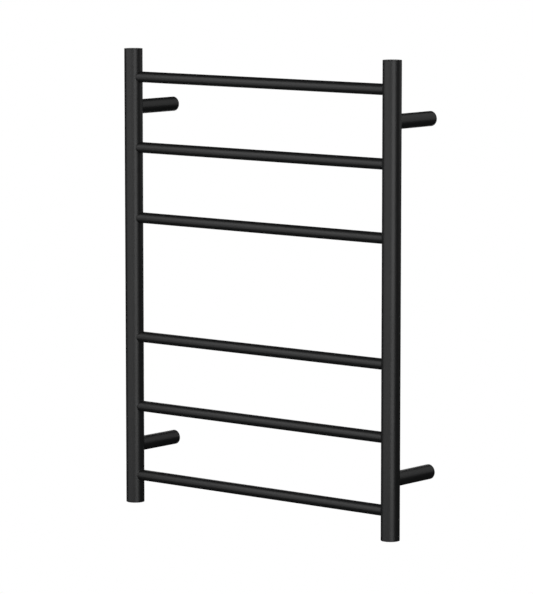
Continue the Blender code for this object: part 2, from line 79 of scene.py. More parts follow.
postRadius = nodeSize("upright_left").x / 2
barRadius = nodeSize("crossbar_1").z / 2
legRadius = nodeSize("leg_top_left").x / 2
postY = nodeCentre("upright_left").y
postX = {side: nodeCentre("upright_" + side).x for side in sides}
barZ = [nodeCentre(f"crossbar_{number}").z for number in range(1, barCount + 1)]
legZ = {level: nodeCentre(f"leg_{level}_left").z for level in levels}
wiringLeg = Vector((postX["right"], 0, legZ["bottom"]))


# Small helpers for trees, meshes and pieces

def plug(tree, node, inputs):
    # sets each input, or links it where the value is another node's output
    for key, value in inputs.items():
        if isinstance(value, bpy.types.NodeSocket):
            tree.links.new(value, node.inputs[key])
        else:
            node.inputs[key].default_value = value


def addNode(tree, kind, inputs=None, **settings):
    node = tree.nodes.new(kind)
    for name, value in settings.items():
        setattr(node, name, value)
    plug(tree, node, inputs or {})
    return node


def handsFor(tree):
    # for one tree: add makes a node, calc a sum, and split and join take a vector apart or make one
    def add(kind, inputs=None, **settings):
        return addNode(tree, kind, inputs, **settings)

    def calc(operation, *values):
        return add("ShaderNodeMath", dict(enumerate(values)), operation=operation).outputs[0]

    def split(vector):
        return add("ShaderNodeSeparateXYZ", {"Vector": vector}).outputs

    def join(x, y, z):
        return add("ShaderNodeCombineXYZ", {"X": x, "Y": y, "Z": z}).outputs[0]

    return add, calc, split, join


def layOut(tree):
    for index, node in enumerate(tree.nodes):
        node.location = (220 * (index % 9), -320 * (index // 9))


def newGroup(name, kind, inputs, outputs):
    # inputs and outputs are {label: socket kind}; every size is given where the group is used
    group = bpy.data.node_groups.new(name, kind)
    for way, sockets in (("INPUT", inputs), ("OUTPUT", outputs)):
        for label, socketKind in sockets.items():
            group.interface.new_socket(name=label, in_out=way, socket_type="NodeSocket" + socketKind)
    return group, addNode(group, "NodeGroupInput").outputs


def newTree(name, lengths, counts=(), switches=()):
    inputs = {"Geometry": "Geometry", "Material": "Material"}
    for labels, kind in ((lengths, "Float"), (counts, "Int"), (switches, "Bool")):
        inputs.update(dict.fromkeys(labels, kind))
    return newGroup(name, "GeometryNodeTree", inputs, {"Geometry": "Geometry"})


def endTree(tree, geometry, material):
    add = handsFor(tree)[0]
    smooth = add("GeometryNodeSetShadeSmooth", {"Geometry": geometry})
    realized = add("GeometryNodeRealizeInstances", {"Geometry": smooth.outputs[0]})
    painted = add("GeometryNodeSetMaterial", {"Geometry": realized.outputs[0], "Material": material})
    add("NodeGroupOutput", {"Geometry": painted.outputs[0]})
    layOut(tree)
    return tree


def addObject(name, data):
    holder = bpy.data.objects.new(name, data)
    bpy.context.scene.collection.objects.link(holder)
    return holder


def plainMesh(holder):
    # what the object's modifiers make of it
    bpy.context.view_layer.update()
    return bpy.data.meshes.new_from_object(holder.evaluated_get(bpy.context.evaluated_depsgraph_get()))


def sharpen(mesh, degrees=32):
    # edges between faces that meet at more than this angle are shaded sharp
    mesh.set_sharp_from_angle(angle=math.radians(degrees))
    return mesh


def grow(name, tree, values, points=(), attributes=None, joined=False, sharpAngle=40):
    # runs a geometry tree over points, joined in a line or loose, and keeps what it makes as a plain mesh
    seed = bpy.data.meshes.new(name + "Points")
    lines = [(index, index + 1) for index in range(len(points) - 1)] if joined else []
    seed.from_pydata([tuple(point) for point in points], lines, [])
    for label, numbers in (attributes or {}).items():
        seed.attributes.new(label, "FLOAT", "POINT").data.foreach_set("value", numbers)
    holder = addObject(name, seed)
    modifier = holder.modifiers.new(tree.name, "NODES")
    modifier.node_group = tree
    for item in tree.interface.items_tree:
        if item.item_type == "SOCKET" and item.in_out == "INPUT" and item.name in values:
            modifier[item.identifier] = values[item.name]
    mesh = plainMesh(holder)
    mesh.name = name
    outwardFaces(mesh)
    sharpen(mesh, sharpAngle)
    holder.modifiers.clear()
    holder.data = mesh
    bpy.data.meshes.remove(seed)
    return holder


def outwardFaces(mesh):
    builder = bmesh.new()
    builder.from_mesh(mesh)
    bmesh.ops.recalc_face_normals(builder, faces=builder.faces)
    builder.to_mesh(mesh)
    builder.free()


def addPiece(name, mesh, material):
    if not mesh.materials:
        mesh.materials.append(material)
    return addObject(name, mesh)


def settle(piece, slot, *nodes, body="rack"):
    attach(piece, body)
    if nodes:
        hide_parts(*nodes)


def roundCorners(corners, steps=4):
    # corners are (radius, height, rounding); each rounding becomes an arc between its two sides
    outline = []
    for index, (radius, height, rounding) in enumerate(corners):
        here = Vector((radius, height))
        if not rounding or index in (0, len(corners) - 1):
            outline.append(here)
            continue
        before = (Vector(corners[index - 1][:2]) - here).normalized()
        after = (Vector(corners[index + 1][:2]) - here).normalized()
        half = before.angle(after) / 2
        middle = here + (before + after).normalized() * rounding / math.sin(half)
        start = here + before * rounding / math.tan(half) - middle
        end = here + after * rounding / math.tan(half) - middle
        for step in range(steps + 1):
            outline.append(middle + start.slerp(end, step / steps) * rounding)
    return outline


def turned(name, corners, segments, loop=False, steps=4):
    # spins an outline about Z; v of the UV map runs along the outline in millimetres
    outline = roundCorners(corners, steps)
    if loop:
        outline.append(outline[0])
    builder = bmesh.new()
    uvLayer = builder.loops.layers.uv.new("turned")
    rings = []
    for segment in range(segments):
        angle = 2 * math.pi * segment / segments
        turn = Vector((math.cos(angle), math.sin(angle)))
        rings.append([builder.verts.new((turn.x * p.x, turn.y * p.x, p.y)) for p in outline])
    along = [0]
    for first, second in zip(outline, outline[1:]):
        along.append(along[-1] + (second - first).length / mm)
    for segment in range(segments):
        ring, following = rings[segment], rings[(segment + 1) % segments]
        for index in range(len(outline) - 1):
            face = builder.faces.new((ring[index], following[index], following[index + 1], ring[index + 1]))
            spots = ((0, index), (1, index), (1, index + 1), (0, index + 1))
            for corner, (step, row) in zip(face.loops, spots):
                corner[uvLayer].uv = ((segment + step) / segments, along[row])
    return finishMesh(builder, name)


def finishMesh(builder, name):
    bmesh.ops.remove_doubles(builder, verts=builder.verts, dist=1e-7)
    bmesh.ops.dissolve_degenerate(builder, edges=builder.edges, dist=1e-8)
    bmesh.ops.recalc_face_normals(builder, faces=builder.faces)
    mesh = bpy.data.meshes.new(name)
    builder.to_mesh(mesh)
    builder.free()
    mesh.shade_smooth()
    return sharpen(mesh)


def placed(mesh, location, axis="X", degrees=0):
    # a copy of the mesh, turned about one axis and put in its place
    copy = mesh.copy()
    copy.transform(Matrix.Translation(location) @ Matrix.Rotation(math.radians(degrees), 4, axis))
    return copy


def bored(mesh, cutters):
    # the mesh less the cutters, each a closed mesh in the same place
    target = addObject("target", mesh)
    tools = [addObject(f"cutter{index}", cutter) for index, cutter in enumerate(cutters)]
    for tool in tools:
        modifier = target.modifiers.new(tool.name, "BOOLEAN")
        modifier.object = tool
        modifier.operation = "DIFFERENCE"
        modifier.material_mode = "INDEX"
    result = plainMesh(target)
    for helper in tools + [target]:
        bpy.data.objects.remove(helper)
    return sharpen(result)


def rod(centre, direction, radius, length, segments=48, twist=0):
    builder = bmesh.new()
    turn = Vector((0, 0, 1)).rotation_difference(Vector(direction)).to_matrix().to_4x4()
    matrix = Matrix.Translation(Vector(centre) + Vector(direction) * length / 2) @ turn
    matrix = matrix @ Matrix.Rotation(math.radians(twist), 4, "Z")
    bmesh.ops.create_cone(
        builder, cap_ends=True, segments=segments, radius1=radius, radius2=radius, depth=length,
        matrix=matrix)
    return finishMesh(builder, "rod")


def bevelled(builder, width, segments):
    bmesh.ops.bevel(
        builder, geom=builder.edges[:], offset=width, segments=segments, affect="EDGES", profile=0.5)


def boxMesh(centre, size, rounding=0):
    builder = bmesh.new()
    bmesh.ops.create_cube(builder, size=1, matrix=Matrix.Translation(centre) @ Matrix.Diagonal((*size, 1)))
    if rounding:
        bevelled(builder, rounding, 3)
    return finishMesh(builder, "box")


def roundNormals(mesh, axisPoint, axisDirection, radii):
    # normals on a drilled tube's round walls point straight out from its axis, so no facet shows by a hole
    axisPoint, axisDirection = Vector(axisPoint), Vector(axisDirection)
    normals = [item.vector.copy() for item in mesh.corner_normals]
    for face in mesh.polygons:
        for loopIndex in face.loop_indices:
            offset = mesh.vertices[mesh.loops[loopIndex].vertex_index].co - axisPoint
            outward = offset - axisDirection * offset.dot(axisDirection)
            onWall = any(abs(outward.length - radius) < 0.02 * mm for radius in radii)
            facing = face.normal.dot(outward.normalized()) if outward.length else 0
            if onWall and abs(facing) > 0.97:
                normals[loopIndex] = outward.normalized() * (1 if facing > 0 else -1)
    mesh.normals_split_custom_set(normals)


# Shader groups that several finishes share

def blendColours(tree, factor, first, second):
    return addNode(tree, "ShaderNodeMix", {0: factor, 6: first, 7: second}, data_type="RGBA").outputs[2]


def roughnessFrom(add, given, value):
    # spreads the middle of a noise between the smoothest and the roughest
    return add("ShaderNodeMapRange", {
        "Value": value, "From Min": 0.3, "From Max": 0.7,
        "To Min": given["Smoothest"], "To Max": given["Roughest"]}).outputs["Result"]


def makeGrainGroup():
    # grain of a coat or a moulding: slow patches, a coarse swell and a fine stipple, sizes in millimetres
    labels = ("Swell Size", "Stipple Size", "Smoothest", "Roughest")
    colours = {"Colour": "Color", "Second Colour": "Color"}
    group, given = newGroup("fineGrain", "ShaderNodeTree", {**dict.fromkeys(labels, "Float"), **colours}, {
        "Color": "Color", "Roughness": "Float", "Height": "Float"})
    add, calc, _, _ = handsFor(group)
    place = add("ShaderNodeTexCoord").outputs["Object"]

    def noise(scale, detail):
        return add("ShaderNodeTexNoise", {"Vector": place, "Scale": scale, "Detail": detail}).outputs["Fac"]

    patchScale = 14.0  # per metre
    swell = noise(calc("DIVIDE", 1 / mm, given["Swell Size"]), 2.0)
    stipple = noise(calc("DIVIDE", 1 / mm, given["Stipple Size"]), 1.0)
    patches = noise(patchScale, 3.0)
    add("NodeGroupOutput", {
        "Color": blendColours(group, patches, given["Colour"], given["Second Colour"]),
        "Roughness": roughnessFrom(add, given, patches),
        "Height": calc("MULTIPLY_ADD", stipple, 0.3, swell)})
    layOut(group)
    return group


def makeToolMarkGroup():
    # fine rings left by a turning tool, which follow v of the piece's own UV map in millimetres
    labels = ("Mark Width", "Smoothest", "Roughest")
    group, given = newGroup("toolMarks", "ShaderNodeTree", dict.fromkeys(labels, "Float"), {
        "Roughness": "Float", "Height": "Float"})
    add, calc, split, _ = handsFor(group)
    steps = calc("DIVIDE", split(add("ShaderNodeUVMap").outputs["UV"])["Y"], given["Mark Width"])
    rings = add("ShaderNodeTexNoise", {"W": steps, "Scale": 1.0, "Detail": 2.0}, noise_dimensions="1D")
    height = rings.outputs["Fac"]
    add("NodeGroupOutput", {"Roughness": roughnessFrom(add, given, height), "Height": height})
    layOut(group)
    return group


def makeEdgeGroup():
    # how worn a convex edge is, from 0 to 1, broken up by a little noise
    group, given = newGroup(
        "edgeWear", "ShaderNodeTree", {"Start": "Float", "Full": "Float"}, {"Mask": "Float"})
    add, calc, _, _ = handsFor(group)
    place = add("ShaderNodeTexCoord").outputs["Object"]
    speckScale = 900.0  # per metre
    specks = add("ShaderNodeTexNoise", {"Vector": place, "Scale": speckScale, "Detail": 2.0}).outputs["Fac"]
    edge = add("ShaderNodeMapRange", {
        "Value": add("ShaderNodeNewGeometry").outputs["Pointiness"],
        "From Min": given["Start"], "From Max": given["Full"]}).outputs["Result"]
    add("NodeGroupOutput", {"Mask": calc("MULTIPLY", edge, specks)})
    layOut(group)
    return group


grainGroup = makeGrainGroup()
toolMarkGroup = makeToolMarkGroup()
edgeGroup = makeEdgeGroup()


# Finishes: each look names the inputs of the groups that it uses

def newFinish(name, fixed):
    material = bpy.data.materials.new(name)
    material.use_nodes = True
    tree = material.node_tree
    shader = tree.nodes["Principled BSDF"]
    plug(tree, shader, fixed)
    return material, tree, shader


def addGroup(tree, group, look):
    node = addNode(tree, "ShaderNodeGroup", node_tree=group)
    plug(tree, node, {socket.name: look[socket.name] for socket in node.inputs})
    return node.outputs


def dress(tree, shader, colour, surface, relief):
    bump = addNode(tree, "ShaderNodeBump", {"Height": surface["Height"], "Strength": 1.0, "Distance": relief})
    plug(tree, shader, {
        "Base Color": colour, "Roughness": surface["Roughness"], "Normal": bump.outputs["Normal"]})
    layOut(tree)


def grained(name, look):
    # a coat or a moulding: colour, roughness and bump from the grain group, paler where an edge is worn
    material, tree, shader = newFinish(name, {"Specular IOR Level": look["gloss"]})
    grain = addGroup(tree, grainGroup, look)
    worn = blendColours(tree, addGroup(tree, edgeGroup, look)["Mask"], grain["Color"], look["worn"])
    dress(tree, shader, worn, grain, look["relief"])
    return material


metalWear = {"Start": 0.53, "Full": 0.62}  # the edge group's limits on every bare metal


def machined(name, look):
    # bare metal off a lathe
    material, tree, shader = newFinish(name, {"Metallic": 1.0})
    marks = addGroup(tree, toolMarkGroup, look)
    wear = addGroup(tree, edgeGroup, metalWear)["Mask"]
    dress(tree, shader, blendColours(tree, wear, look["Colour"], look["worn"]), marks, look["relief"])
    return material


coatLook = {
    "Colour": (0.0065, 0.0068, 0.0072, 1), "Second Colour": (0.0085, 0.0088, 0.0092, 1),
    "worn": (0.016, 0.016, 0.016, 1), "Swell Size": 1.4, "Stipple Size": 0.28, "relief": 0.008 * mm,
    "Smoothest": 0.38, "Roughest": 0.42, "gloss": 0.5, "Start": 0.56, "Full": 0.75}
rubberLook = {
    "Colour": (0.012, 0.012, 0.012, 1), "Second Colour": (0.02, 0.019, 0.018, 1),
    "worn": (0.04, 0.04, 0.038, 1), "Swell Size": 0.9, "Stipple Size": 0.12, "relief": 0.02 * mm,
    "Smoothest": 0.6, "Roughest": 0.78, "gloss": 0.35, "Start": 0.53, "Full": 0.65}
nylonLook = {
    "Colour": (0.72, 0.69, 0.6, 1), "Second Colour": (0.66, 0.63, 0.54, 1),
    "worn": (0.82, 0.8, 0.73, 1), "Swell Size": 2.2, "Stipple Size": 0.2, "relief": 0.01 * mm,
    "Smoothest": 0.35, "Roughest": 0.5, "gloss": 0.5, "Start": 0.53, "Full": 0.65}
siliconeLook = {
    "Colour": (0.36, 0.085, 0.04, 1), "Second Colour": (0.3, 0.065, 0.032, 1),
    "worn": (0.42, 0.13, 0.08, 1), "Swell Size": 1.8, "Stipple Size": 0.3, "relief": 0.012 * mm,
    "Smoothest": 0.5, "Roughest": 0.62, "gloss": 0.4, "Start": 0.56, "Full": 0.75}
sleeveLook = {
    "Colour": (0.022, 0.022, 0.023, 1), "Second Colour": (0.03, 0.03, 0.031, 1),
    "worn": (0.06, 0.06, 0.06, 1), "Swell Size": 1.1, "Stipple Size": 0.15, "relief": 0.015 * mm,
    "Smoothest": 0.42, "Roughest": 0.55, "gloss": 0.45, "Start": 0.53, "Full": 0.68}
steelLook = {
    "Colour": (0.47, 0.465, 0.455, 1), "worn": (0.62, 0.615, 0.6, 1), "Mark Width": 0.12,
    "Smoothest": 0.26, "Roughest": 0.42, "relief": 0.006 * mm}
blackScrewLook = {
    "Colour": (0.09, 0.09, 0.092, 1), "worn": (0.24, 0.235, 0.23, 1), "Mark Width": 0.1,
    "Smoothest": 0.32, "Roughest": 0.48, "relief": 0.005 * mm}
brassLook = {
    "Colour": (0.62, 0.43, 0.17, 1), "worn": (0.76, 0.58, 0.28, 1), "Mark Width": 0.1,
    "Smoothest": 0.24, "Roughest": 0.38, "relief": 0.006 * mm}
aluminiumLook = {
    "Colour": (0.68, 0.685, 0.69, 1), "worn": (0.8, 0.8, 0.8, 1), "Mark Width": 0.2,
    "Smoothest": 0.28, "Roughest": 0.4, "relief": 0.004 * mm}
leadLook = {"Swell Size": 0.9, "Stipple Size": 0.15, "Smoothest": 0.28, "Roughest": 0.4, "relief": 0.006 * mm}
satinBlack = grained("satinBlack", coatLook)
mouldedRubber = grained("mouldedRubber", rubberLook)
paleNylon = grained("paleNylon", nylonLook)
redSilicone = grained("redSilicone", siliconeLook)
shrunkSleeve = grained("shrunkSleeve", sleeveLook)
turnedSteel = machined("turnedSteel", steelLook)
blackenedSteel = machined("blackenedSteel", blackScrewLook)
turnedBrass = machined("turnedBrass", brassLook)
drawnAluminium = machined("drawnAluminium", aluminiumLook)


def insulation(name, colour, stripe=None):
    # lead insulation; a second colour runs along it as a stripe on each side
    material, tree, shader = newFinish(name, {"Specular IOR Level": 0.5})
    add, calc, split, _ = handsFor(tree)
    second = [part * 0.85 for part in colour]
    grain = addGroup(tree, grainGroup, {**leadLook, "Colour": (*colour, 1), "Second Colour": (*second, 1)})
    shown = grain["Color"]
    if stripe:
        around = split(add("ShaderNodeUVMap").outputs["UV"])["X"]
        striped = calc("LESS_THAN", calc("PINGPONG", around, 0.5), 0.25)
        shown = blendColours(tree, striped, shown, (*stripe, 1))
    dress(tree, shader, shown, grain, leadLook["relief"])
    return material


brownLead = insulation("brownLead", (0.13, 0.045, 0.018))
blueLead = insulation("blueLead", (0.018, 0.08, 0.36))
earthLead = insulation("earthLead", (0.04, 0.3, 0.03), stripe=(0.7, 0.62, 0.03))
print("finishes made:", len(bpy.data.materials))


# Tubes: one tree makes the uprights, the crossbars and the brass sleeves, each from its outer size and wall

def makeTubeTree():
    lengths = ("Outer Radius", "Wall", "Length", "Edge Round")
    tree, given = newTree("Round Tube", lengths, counts=("Segments",))
    add, calc, _, _ = handsFor(tree)
    middle = calc("MULTIPLY_ADD", given["Wall"], -0.5, given["Outer Radius"])
    circle = add("GeometryNodeCurvePrimitiveCircle", {
        "Resolution": given["Segments"], "Radius": middle}, mode="RADIUS")
    upright = add("GeometryNodeSetCurveNormal", {"Curve": circle.outputs["Curve"]}, mode="Z_UP")
    section = add("GeometryNodeCurvePrimitiveQuadrilateral", {
        "Width": given["Wall"], "Height": given["Length"]}, mode="RECTANGLE")
    eased = add("GeometryNodeFilletCurve", {
        "Curve": section.outputs[0], "Radius": given["Edge Round"], "Count": 3, "Limit Radius": True},
        mode="POLY")
    swept = add("GeometryNodeCurveToMesh", {"Curve": upright.outputs[0], "Profile Curve": eased.outputs[0]})
    return endTree(tree, swept.outputs[0], given["Material"])


tubeTree = makeTubeTree()
tubes = {
    "post": {"Wall": 1.5 * mm, "Edge Round": 0.15 * mm, "Segments": 96},
    "bar": {"Wall": 1.2 * mm, "Edge Round": 0.2 * mm, "Segments": 72},
    "gap": 0.3 * mm,  # left between a tube and the edge of the hole it goes through
    "drill": 2.65 * mm,  # radius of the set screw's hole
    "drillFromWall": 10 * mm}


def tubeMesh(kind, radius, length, centre, axis="X", degrees=0):
    values = {"Outer Radius": radius, "Length": length, "Material": satinBlack, **tubes[kind]}
    piece = grow(kind, tubeTree, values)
    mesh = placed(piece.data, centre, axis, degrees)
    bpy.data.objects.remove(piece)
    return mesh


def makeUprights():
    wall = tubes["post"]["Wall"]
    for side in sides:
        node = "upright_" + side
        centre = nodeCentre(node)
        mesh = tubeMesh("post", postRadius, nodeSize(node).z, centre)
        inward = Vector((-1 if side == "right" else 1, 0, 0))
        drills = [rod((centre.x, postY, z), inward, barRadius + tubes["gap"], 2 * postRadius) for z in barZ]
        for level in levels:
            start = (centre.x, postY, legZ[level])
            drills.append(rod(start, (0, 1, 0), legRadius + tubes["gap"], 2 * postRadius))
        mesh = bored(mesh, drills)
        roundNormals(mesh, centre, (0, 0, 1), (postRadius, postRadius - wall))
        settle(addPiece(side + "Upright", mesh, satinBlack), "black_coat", node)


def makeCrossbars():
    for number in range(1, barCount + 1):
        node = f"crossbar_{number}"
        mesh = tubeMesh("bar", barRadius, nodeSize(node).x, nodeCentre(node), "Y", 90)
        settle(addPiece(f"towelBar{number}", mesh, satinBlack), "black_coat", node)


legShape = {"wall": 1.5 * mm, "rim": 1.1 * mm, "innerRim": 0.3 * mm, "segments": 80}


def makeLegs():
    # the wall end's rim is eased, the other end is hidden in the upright
    inner = legRadius - legShape["wall"]
    size = nodeSize("leg_top_left")
    outline = [
        (inner, size.y, 0), (inner, 0, legShape["innerRim"]), (legRadius, 0, legShape["rim"]),
        (legRadius, size.y, 0)]
    tube = turned("leg", outline, legShape["segments"], loop=True, steps=6)
    for level, side in corners:
        node = f"leg_{level}_{side}"
        centre = nodeCentre(node)
        mesh = placed(tube, (centre.x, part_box(node)[1].y, centre.z), "X", 90)
        start = (centre.x, -tubes["drillFromWall"], centre.z - legRadius / 2)
        mesh = bored(mesh, [rod(start, (0, 0, -1), tubes["drill"], legRadius)])
        roundNormals(mesh, centre, (0, 1, 0), (legRadius, inner))
        settle(addPiece(f"{level}{side.title()}Leg", mesh, satinBlack), "black_coat", node)


# Weld beads: a small fillet runs round every tube where it enters an upright

def makeWeldTree():
    lengths = ("Post Radius", "Tube Radius", "Reach", "Root Depth", "Fullness", "Ripple", "Ripples")
    tree, given = newTree("Weld Bead", lengths, counts=("Around",))
    add, calc, split, join = handsFor(tree)
    faceSteps = 6
    rows = faceSteps + 5  # the rows of the face, three hidden root rows and one that closes the bead
    grid = add("GeometryNodeMeshGrid", {
        "Size X": 1.0, "Size Y": 1.0, "Vertices X": given["Around"], "Vertices Y": rows})
    spot = split(add("GeometryNodeInputPosition").outputs[0])
    angle = calc("MULTIPLY_ADD", spot["X"], 2 * math.pi, math.pi)
    row = calc("MULTIPLY_ADD", spot["Y"], rows - 1.0, (rows - 1) / 2)
    rising = calc("DIVIDE", row, float(faceSteps))
    falling = calc("MULTIPLY_ADD", row, -0.5, (faceSteps + 3) / 2)
    across = calc("MAXIMUM", calc("MINIMUM", rising, falling), 0.0)
    fromRoot = calc("ABSOLUTE", calc("SUBTRACT", row, faceSteps + 2.0))
    sunk = calc("MULTIPLY", calc("LESS_THAN", fromRoot, 1.5), given["Root Depth"])
    post = calc("SUBTRACT", given["Post Radius"], sunk)
    tube = calc("SUBTRACT", given["Tube Radius"], sunk)
    sideways = calc("MULTIPLY", tube, calc("SINE", angle))
    upwards = calc("MULTIPLY", tube, calc("COSINE", angle))
    swing = calc("ARCSINE", calc("DIVIDE", sideways, post))
    outwards = calc("MULTIPLY", post, calc("COSINE", swing))
    arc = calc("MULTIPLY", post, swing)
    squared = calc("MULTIPLY_ADD", arc, arc, calc("MULTIPLY", upwards, upwards))
    growth = calc("ADD", calc("DIVIDE", given["Reach"], calc("SQRT", squared)), 1.0)
    toeSwing = calc("MULTIPLY", swing, growth)

    def vectors(operation, first, second):
        key = "Scale" if operation == "SCALE" else 1
        return add("ShaderNodeVectorMath", {0: first, key: second}, operation=operation).outputs[0]

    crease = join(outwards, sideways, upwards)
    onTube = join(calc("ADD", outwards, given["Reach"]), sideways, upwards)
    onPost = join(
        calc("MULTIPLY", post, calc("COSINE", toeSwing)),
        calc("MULTIPLY", post, calc("SINE", toeSwing)),
        calc("MULTIPLY", upwards, growth))
    spread = vectors("SUBTRACT", vectors("ADD", onTube, onPost), vectors("SCALE", crease, 2.0))
    wave = calc("SINE", calc("MULTIPLY", angle, given["Ripples"]))
    fullness = calc("MULTIPLY_ADD", wave, given["Ripple"], given["Fullness"])
    handle = vectors("ADD", crease, vectors("SCALE", spread, fullness))
    rest = calc("SUBTRACT", 1.0, across)
    shares = (
        (onTube, calc("MULTIPLY", rest, rest)),
        (handle, calc("MULTIPLY", calc("MULTIPLY", rest, across), 2.0)),
        (onPost, calc("MULTIPLY", across, across)))
    parts = [vectors("SCALE", point, share) for point, share in shares]
    place = vectors("ADD", vectors("ADD", parts[0], parts[1]), parts[2])
    bent = add("GeometryNodeSetPosition", {"Geometry": grid.outputs["Mesh"], "Position": place})
    closed = add("GeometryNodeMergeByDistance", {"Geometry": bent.outputs[0], "Distance": 1e-6})
    turn = add("GeometryNodeInputNamedAttribute", {"Name": "turn"}, data_type="FLOAT")
    rotation = add("FunctionNodeEulerToRotation", {"Euler": join(0.0, 0.0, turn.outputs[0])})
    copies = add("GeometryNodeInstanceOnPoints", {
        "Points": given["Geometry"], "Instance": closed.outputs[0], "Rotation": rotation.outputs[0]})
    return endTree(tree, copies.outputs["Instances"], given["Material"])


weldTree = makeWeldTree()
welds = {
    "bar": {"Reach": 0.9 * mm, "Root Depth": 0.4 * mm, "Fullness": 0.08, "Ripple": 0.03, "Ripples": 31.0,
            "Around": 121},
    "leg": {"Reach": 1.1 * mm, "Root Depth": 0.4 * mm, "Fullness": 0.08, "Ripple": 0.03, "Ripples": 41.0,
            "Around": 121}}


def makeWelds():
    turnOut = {"left": 0.0, "right": math.pi}
    barPlaces = [(postX[side], postY, z) for side in sides for z in barZ]
    barTurns = [turnOut[side] for side in sides for _ in barZ]
    legPlaces = [(postX[side], postY, legZ[level]) for level, side in corners]
    legTurns = [math.pi / 2] * len(corners)
    for name, kind, radius, places, turns in (
        ("barWelds", "bar", barRadius, barPlaces, barTurns),
        ("legWelds", "leg", legRadius, legPlaces, legTurns),
    ):
        sizes = {"Post Radius": postRadius, "Tube Radius": radius, "Material": satinBlack, **welds[kind]}
        settle(grow(name, weldTree, sizes, places, {"turn": turns}, sharpAngle=60), "black_coat")


# End caps: a disc with an eased rim over a skirt that plugs the tube

endCap = {
    "seam": 0.1 * mm, "rimRound": 0.45 * mm, "skirt": 9 * mm, "skirtWall": 1.6 * mm, "skirtRound": 0.3 * mm,
    "segments": 96}


def makeEndCaps():
    skirt = postRadius - tubes["post"]["Wall"] - tubes["gap"]
    core = skirt - endCap["skirtWall"]
    flange = cadBox[1][2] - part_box("upright_left")[1].z
    outline = [
        (0, 0, 0),
        (postRadius, 0, endCap["rimRound"]),
        (postRadius, -flange, endCap["seam"]),
        (skirt, -flange, 0),
        (skirt, -flange - endCap["skirt"], endCap["skirtRound"]),
        (core, -flange - endCap["skirt"], endCap["skirtRound"]),
        (core, -flange, 0),
        (0, -flange, 0)]
    shape = turned("endCap", outline, endCap["segments"])
    for level, side in corners:
        node = f"end_cap_{level}_{side}"
        up = level == "top"
        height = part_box(node)[1].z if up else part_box(node)[0].z
        mesh = placed(shape, (postX[side], postY, height), "X", 0 if up else 180)
        settle(addPiece(f"{level}{side.title()}Cap", mesh, satinBlack), "black_coat", node)


# Wall spigots: turned steel with a milled flat; the wiring one has a cable hole in place of the screw recess

spigot = {
    "flat": 8.2 * mm, "chamfer": 0.8 * mm, "screwHole": 2.6 * mm, "headHole": 5 * mm, "headDepth": 12 * mm,
    "cableHole": 5 * mm, "cableRise": 4.6 * mm, "smallHole": 2.1 * mm, "smallDrop": 4.4 * mm, "rim": 0.3 * mm,
    "headRim": 0.4 * mm, "noseRound": 0.1 * mm, "floorRound": 0.2 * mm, "segments": 96,
    "twist": 3.1}  # keeps the holes' edges off the end faces' own edges


def makeWallSpigots():
    size = nodeSize("wall_spigot_top_left")
    radius, length = size.x / 2, size.y
    rim, headRim, soft, chamfer = spigot["rim"], spigot["headRim"], spigot["noseRound"], spigot["chamfer"]
    flank = [
        (radius - rim, 0, 0), (radius, rim, 0), (radius, length - chamfer, soft),
        (radius - chamfer, length, soft)]
    floorHeight = length - spigot["headDepth"]
    hole, head = spigot["screwHole"], spigot["headHole"]
    outline = [
        (hole, rim, 0), (hole + rim, 0, 0), *flank, (head + headRim, length, 0), (head, length - headRim, 0),
        (head, floorHeight, spigot["floorRound"]), (hole, floorHeight, 0)]
    plain = turned("spigot", outline, spigot["segments"], loop=True)
    solid = turned("wiringSpigot", [(0, 0, 0), *flank, (0, length, 0)], spigot["segments"])
    cutBox = boxMesh((0, -spigot["flat"] - radius / 2, length / 2), (2.2 * radius, radius, 1.5 * length))
    past = 2 * mm
    long = {"direction": (0, 0, 1), "length": length + 2 * past, "twist": spigot["twist"]}
    cableHole = rod((0, spigot["cableRise"], -past), radius=spigot["cableHole"], **long)
    smallHole = rod((0, -spigot["smallDrop"], -past), radius=spigot["smallHole"], **long)
    plain = bored(plain, [cutBox])
    wiring = bored(solid, [cutBox.copy(), cableHole, smallHole])
    for mesh in (plain, wiring):
        roundNormals(mesh, (0, 0, 0), (0, 0, 1), (radius, head))
    for level, side in corners:
        node = f"wall_spigot_{level}_{side}"
        shape = wiring if (level, side) == ("bottom", "right") else plain
        mesh = placed(shape, (postX[side], 0, legZ[level]), "X", 90)
        piece = addPiece(f"{level}{side.title()}Spigot", mesh, turnedSteel)
        settle(piece, "spigot_steel", node, body="wall_side")


# Screws: one tree cuts a real thread, and a hexagon socket or a slot in the head

